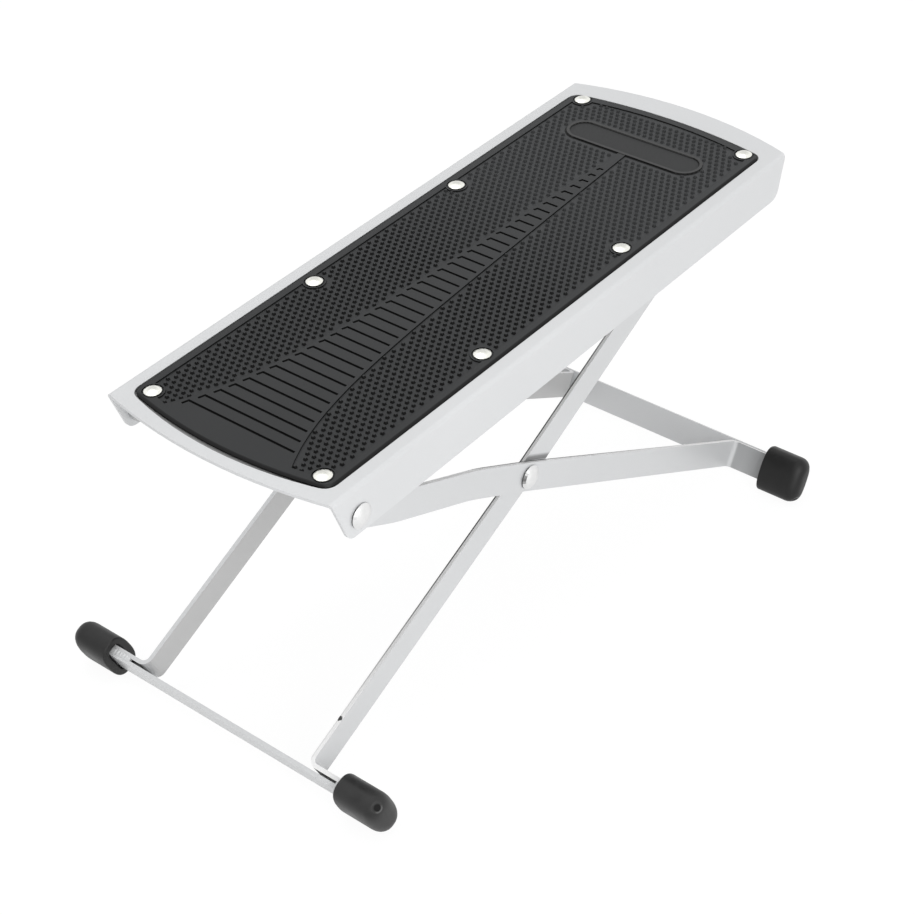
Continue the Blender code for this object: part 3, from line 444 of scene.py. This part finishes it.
def capRubber(footName, sideName):
    # Softly shining rubber; a round moulding mark lies where one narrow edge meets the closed end,
    # with painted shade darkening its middle and a painted highlight lighting its lip
    name = footName + "_cap_" + sideName
    foot, side = feet[footName], sides[sideName]
    edge = side * foot["markEdge"]
    centre = footPlace(foot, side, mark["along"], edge * mark["wide"], mark["thin"])
    lipCentre = footPlace(foot, side, mark["along"] + mark["lipAlong"],
                          edge * (mark["wide"] + mark["lipWide"]), mark["thin"] + mark["lipThin"])
    finish = Finish(name + "_rubber", {"IOR": 1.45, "Specular IOR Level": 0.4})
    grain = finish.noise(capLook["grain"], detail=3, roughness=0.6)
    cloud = finish.noise(capLook["cloud"], detail=3)
    away = finish.distance(centre) / mark["size"]
    dark = finish.falling(away, *mark["dark"])
    onLip = finish.rising(away, *mark["lipInner"]) * finish.falling(away, *mark["lipOuter"])
    onLip = onLip * finish.falling(finish.distance(lipCentre) / mark["size"], *mark["lipReach"])
    shades = [grey(capLook["shades"][name] * (1 + sign * capLook["patchy"])) for sign in (-1, 1)]
    shade = finish.mix(dark, finish.mix(finish.rising(cloud), *shades), grey(mark["shade"]))
    grained = finish.bump(grain, capLook["grainDepth"])
    finish.fill(finish.shader, {
        "Base Color": finish.mix(onLip, shade, grey(mark["lip"])),
        "Roughness": finish.spread(cloud, *capLook["rough"]) + dark * mark["dull"],
        "Normal": finish.bump(finish.rising(away, 0, 1), mark["depth"], grained)})
    return finish.material


# Plated steel

plating = {"cloud": 2.5 * mm, "dull": 0.94, "scratch": 0.2 * mm, "scratchDepth": 0.008 * mm,
           "rougher": 0.15}
rivetCrown = {"shade": 0.68, "whole": 1.0 * mm, "end": 2.2 * mm}
rivetDome = {"share": 0.12, "direction": (0, -0.93, 0.37), "facing": (0.48, 0.62)}


def plated(level, blue):
    return (level, level, level * blue, 1.0)


def platedSteel(name, level, blue, smooth, tone=None):
    # Bright plating with fine tumbling scratches; blue is how much of the blue light the
    # plating gives back. tone adds what differs on a piece
    finish = Finish(name, {"Metallic": 1.0})
    cloud = finish.noise(plating["cloud"], detail=3)
    scratch = finish.noise(plating["scratch"], detail=3, roughness=0.7)
    shade = finish.mix(finish.rising(cloud), plated(level * plating["dull"], blue), plated(level, blue))
    if tone:
        shade = tone(finish, shade, level, blue)
    finish.fill(finish.shader, {
        "Base Color": shade, "Roughness": finish.spread(scratch, smooth, smooth + plating["rougher"]),
        "Normal": finish.bump(scratch, plating["scratchDepth"])})
    return finish.material


def domeTone(finish, shade, level, blue):
    # Painted shade: the edge of a frame rivet's dome that is turned to the low end and up is darker
    away = finish.rising(finish.facing(rivetDome["direction"]), *rivetDome["facing"])
    return finish.mix(away, shade, grey(level * rivetDome["share"]))


def crownTone(finish, shade, level, blue):
    # Painted shade: the middle of a mat rivet is darker, standing in for its shallow dish
    across, along = finish.platformPlace()[:2]
    half = matRivets["pitch"] / 2
    sideways = abs(across) - matRivets["half"]
    lengthways = (along - matRivets["first"] + half) % matRivets["pitch"] - half
    away = (sideways ** 2 + lengthways ** 2) ** 0.5
    middle = finish.falling(away, rivetCrown["whole"], rivetCrown["end"])
    return finish.mix(middle, shade, plated(rivetCrown["shade"], blue))


# Finishes on the CAD nodes

framePaint = silverPaint("framePaint", paint["dark"], frameTone)
pipRubber = matRubber("pipRubber", pipTone)
matRivetSteel = platedSteel("matRivetSteel", level=0.93, blue=0.94, smooth=0.2, tone=crownTone)
finishOf = {"tray_paint": silverPaint("trayPaint", paint["light"], trayTone),
            "frame_paint": framePaint, "mat_rubber": matRubber("matRubber", fieldTone),
            "rivet_steel": platedSteel("rivetSteel", level=0.84, blue=1.0, smooth=0.35, tone=domeTone),
            "rack_steel": platedSteel("rackSteel", level=0.6, blue=1.02, smooth=0.35)}
finishOfNode = {}
for footName, foot in feet.items():
    armPaint = silverPaint(footName + "ArmPaint", paint["dark"], armTone(foot))
    for sideName in sides:
        finishOfNode[footName + "_arm_" + sideName] = armPaint
        finishOfNode[footName + "_cap_" + sideName] = capRubber(footName, sideName)
for part in record["subparts"]:
    name = part["node"]
    if name.startswith("mat_rivet"):
        finishOfNode[name] = matRivetSteel
    for slot in nodes[name].material_slots:
        slot.material = finishOfNode.get(name) or finishOf[part["material_slot"]]
print("nodes with a finish:", len(record["subparts"]))


# Pieces

def meshObject(name, points, faces, material):
    mesh = bpy.data.meshes.new(name)
    mesh.from_pydata(points, [], faces)
    mesh.validate()
    mesh.materials.append(material)
    item = bpy.data.objects.new(name, mesh)
    bpy.context.scene.collection.objects.link(item)
    return item


def meshPiece(name, points, faces, material, body):
    piece = meshObject(name, points, faces, material)
    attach(piece, body)
    return piece


# foot and crown are from a pip's middle to its corners
pips = {"pitch": 2.765 * mm, "row": 2.425 * mm, "foot": 0.85 * mm, "crown": 0.52 * mm,
        "height": 0.95 * mm, "sides": 4, "sunk": 0.05 * mm}


def inPocket(x, y):
    # y is measured from the low end of the platform
    bow = 1 - (x / (field["halfWidth"] + field["rim"])) ** 2
    lowEdge = field["low"] + field["rim"] - field["lowBow"] * bow
    highEdge = field["low"] + field["length"] - field["rim"] + field["highBow"] * bow
    spare = field["clear"] + pips["foot"]
    return abs(x) < field["halfWidth"] - spare and lowEdge + spare < y < highEdge - spare


def onBand(x, y):
    lean, edge = (-ladder["lean"], ladder["edge"]) if x > 0 else (ladder["lean"], ladder["hookEdge"])
    flare = (ladder["flare"] + lean) * math.exp((ladder["start"] - y) / ladder["decay"])
    half = ladder["taper"] * (1 - y / ladder["tip"]) + flare + edge
    return abs(x) < half + field["clear"] + pips["foot"] and y < badge["middle"]


def onBadge(x, y):
    beyond = max(abs(x) - (badge["length"] - badge["width"]) / 2, 0)
    return math.hypot(beyond, y - badge["middle"]) < badge["width"] / 2 + field["clear"] + pips["foot"]


def byRivet(x, y):
    rows = [matRivets["first"] + matRivets["pitch"] * row for row in range(matRivets["rows"])]
    nearest = min(math.hypot(abs(x) - matRivets["half"], y - along) for along in rows)
    return nearest < matRivets["pad"] + pips["foot"]


def pipField():
    # Square pips in rows, every second row offset by half a step
    rows = math.ceil((field["low"] + field["length"] + field["highBow"]) / pips["row"])
    columns = math.ceil(field["halfWidth"] / pips["pitch"])
    spots = [((column + 0.5 * ((row + 1) % 2)) * pips["pitch"], row * pips["row"])
             for row in range(rows) for column in range(-columns, columns + 1)]
    spots = [(x, y) for x, y in spots
             if inPocket(x, y) and not (onBand(x, y) or onBadge(x, y) or byRivet(x, y))]
    count = pips["sides"]
    angles = [2 * math.pi * (step + 0.5) / count for step in range(count)]
    points, faces = [], []
    for x, y in spots:
        first = len(points)
        for radius, height in ((pips["foot"], -pips["sunk"]), (pips["crown"], pips["height"])):
            for angle in angles:
                corner = (x + radius * math.cos(angle), lowEnd + y + radius * math.sin(angle),
                          field["bottom"] + height)
                points.append(platformFrame @ Vector(corner))
        faces.append([first + count - 1 - step for step in range(count)])
        faces.append([first + count + step for step in range(count)])
        for step in range(count):
            after = (step + 1) % count
            faces.append([first + step, first + after, first + count + after, first + count + step])
    print("pips:", len(spots))
    meshPiece("mat_pips", points, faces, pipRubber, "platform")


sharpCorner = math.radians(40)                          # faces that meet at more stay sharp


def loftPiece(name, rings, material, body):
    # Smooth faces over rings of equally many points, closed at both ends
    count = len(rings[0])
    faces = [list(range(count)), [len(rings) * count - 1 - step for step in range(count)]]
    for ring in range(len(rings) - 1):
        for step in range(count):
            here, after = ring * count + step, ring * count + (step + 1) % count
            faces.append([here, after, after + count, here + count])
    piece = meshPiece(name, [point for ring in rings for point in ring], faces, material, body)
    for face in piece.data.polygons:
        face.use_smooth = True
    shell = bmesh.new()
    shell.from_mesh(piece.data)
    bmesh.ops.recalc_face_normals(shell, faces=shell.faces)
    shell.to_mesh(piece.data)
    shell.free()
    piece.data.set_sharp_from_angle(angle=sharpCorner)
    return piece


caps = {"length": 18.0 * mm, "halfWide": 9.5 * mm, "halfThin": 5.9 * mm, "around": 56, "square": 2.7,
        "mouthRound": 0.6 * mm, "endRound": 4.6 * mm, "steps": 7, "slotWide": 5.75 * mm,
        "slotThin": 2.2 * mm, "slotSquare": 9.0, "slotDepth": 13.0 * mm, "flare": 0.9 * mm,
        "flareDepth": 1.6 * mm, "flareSquare": 4.5}


def capRing(halfWide, halfThin, square):
    # Between an oval (square 2) and a rectangle
    ring = []
    for step in range(caps["around"]):
        angle = 2 * math.pi * (step + 0.5) / caps["around"]
        wide, thin = math.cos(angle), math.sin(angle)
        ring.append((halfWide * math.copysign(abs(wide) ** (2 / square), wide),
                     halfThin * math.copysign(abs(thin) ** (2 / square), thin)))
    return ring


def capProfile():
    # Rings from the bottom of the slot, round the mouth's lip, to the closed end
    flare = caps["flare"]
    slot = capRing(caps["slotWide"], caps["slotThin"], caps["slotSquare"])
    lip = capRing(caps["slotWide"] + flare, caps["slotThin"] + flare, caps["flareSquare"])
    rings = [(caps["slotDepth"], slot), (caps["flareDepth"], slot), (0.0, lip)]
    turns = [math.pi / 2 * step / caps["steps"] for step in range(caps["steps"] + 1)]
    mouth = [(caps["mouthRound"] * (1 - math.cos(turn)), caps["mouthRound"] * (1 - math.sin(turn)))
             for turn in turns]
    end = [(caps["length"] - caps["endRound"] * (1 - math.sin(turn)),
            caps["endRound"] * (1 - math.cos(turn))) for turn in turns]
    for along, inset in mouth + end:
        rings.append((along, capRing(caps["halfWide"] - inset, caps["halfThin"] - inset, caps["square"])))
    return rings


def rubberCap(footName, sideName):
    foot, side = feet[footName], sides[sideName]
    node = footName + "_cap_" + sideName
    rings = [[footPlace(foot, side, along, wide, thin) for wide, thin in outline]
             for along, outline in capProfile()]
    piece = loftPiece(node + "_soft", rings, finishOfNode[node], foot["body"])
    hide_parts(node)


# left and right are how far a bead reaches out of the cap; taper and tip are in steps
weld = {"left": 8.6 * mm, "right": 2.8 * mm, "inside": 1.0 * mm, "half": 1.15 * mm,
        "crown": 0.4 * mm, "edge": 5.6 * mm, "sunk": 1.2 * mm, "pitch": 0.4 * mm, "ripple": 0.25,
        "wave": 1.4 * mm, "taper": 3, "tip": 0.3, "arc": 6}


def weldBead(footName, sideName):
    # A bead between the tab and the crossbar, from inside the cap's mouth towards the bend,
    # narrowing over its last steps
    foot, side = feet[footName], sides[sideName]
    stations = int((weld[sideName] + weld["inside"]) / weld["pitch"])
    rings = []
    for station in range(stations + 1):
        along = weld["inside"] - station * weld["pitch"]
        narrow = min(1.0, (stations - station + weld["tip"]) / weld["taper"]) ** 0.5
        half = weld["half"] * narrow
        wavy = 1 + weld["ripple"] * math.sin(2 * math.pi * along / weld["wave"])
        crest = weld["crown"] * wavy * narrow
        ring = [footPlace(foot, side, along, weld["edge"] - weld["sunk"], thin) for thin in (half, -half)]
        for step in range(weld["arc"] + 1):
            angle = math.pi * (1 - step / weld["arc"])
            ring.append(footPlace(foot, side, along, weld["edge"] + crest * math.sin(angle),
                                  half * math.cos(angle)))
        rings.append(ring)
    loftPiece(footName + "_weld_" + sideName, rings, framePaint, foot["body"])


pipField()
for footName in feet:
    for sideName in sides:
        rubberCap(footName, sideName)
        weldBead(footName, sideName)
print("caps and welds:", 2 * len(feet) * len(sides))


# Studio

studio = {"half": 3.0, "depth": 0.2 * mm, "floor": 0.9, "floorRough": 0.9, "floorGlow": 1.06,
          "shadow": 0.12, "white": 1.0, "ambient": 0.56, "aim": (0, 0, 0.1)}
lamps = {"overheadBox": {"place": (-0.25, -0.1, 1.1), "size": 0.9, "level": 0.24},
         "sideBox": {"place": (1.0, -0.5, 0.5), "size": 0.7, "level": 0.4}}
# The camera's place and turn (axis times angle) are measured in the platform's frame
photo = {"place": (401.04 * mm, -352.72 * mm, 413.29 * mm), "turn": (-0.8485, -0.3489, -0.6143),
         "lens": 81.5615, "sensor": 36.0, "nearest": 0.01}


def whiteFloor():
    # Seen and mirrored as white, all but the share that keeps the object's shadow
    half, height = studio["half"], -studio["depth"]
    corners = [(-half, -half, height), (half, -half, height), (half, half, height), (-half, half, height)]
    finish = Finish("floorWhite", {"Base Color": grey(studio["floor"]), "Roughness": studio["floorRough"],
                                   "Specular IOR Level": 0.0})
    seen = finish.lightPath("Is Camera Ray") + finish.lightPath("Is Glossy Ray")
    glow = finish.node("Emission", {}, {"Color": grey(1.0), "Strength": studio["floorGlow"]})
    plain = Wire(finish.tree, finish.shader.outputs[0])
    both = finish.node("MixShader", {}, {0: seen * (1 - studio["shadow"]), 1: plain, 2: glow})
    finish.fill(finish.tree.nodes["Material Output"], {"Surface": both})
    floor = meshObject("floor", corners, [(0, 1, 2, 3)], finish.material)


def worldLight():
    # White where it is seen or mirrored, dimmer as a light
    world = bpy.data.worlds.new("studioAir")
    bpy.context.scene.world = world
    world.use_nodes = True
    air = Graph(world.node_tree)
    seen = air.lightPath("Is Camera Ray") + air.lightPath("Is Glossy Ray")
    seen = seen + air.lightPath("Is Transmission Ray")
    strength = studio["ambient"] + seen * (studio["white"] - studio["ambient"])
    air.fill(air.tree.nodes["Background"], {"Color": grey(1.0), "Strength": strength})


def softBox(name, place, size, level):
    # level is what a white surface facing the lamp from the aim would show
    lamp = bpy.data.lights.new(name, "AREA")
    lamp.shape, lamp.size = "SQUARE", size
    away = Vector(place) - Vector(studio["aim"])
    lamp.energy = level * math.pi ** 2 * away.length_squared
    item = bpy.data.objects.new(name, lamp)
    item.location = place
    item.rotation_euler = away.to_track_quat("Z", "Y").to_euler()
    bpy.context.scene.collection.objects.link(item)


def photoCamera():
    turned = Vector(photo["turn"])
    seen = Quaternion(turned.normalized(), turned.length).to_matrix().transposed().to_4x4()
    data = bpy.data.cameras.new("photoCamera")
    data.lens, data.sensor_width, data.clip_start = photo["lens"], photo["sensor"], photo["nearest"]
    camera = bpy.data.objects.new("photoCamera", data)
    bpy.context.scene.collection.objects.link(camera)
    camera.matrix_world = platformFrame @ Matrix.Translation(photo["place"]) @ seen
    bpy.context.scene.camera = camera


whiteFloor()
worldLight()
for name, lamp in lamps.items():
    softBox(name, **lamp)
photoCamera()
bpy.context.scene.view_settings.view_transform = "Standard"
print("studio ready")
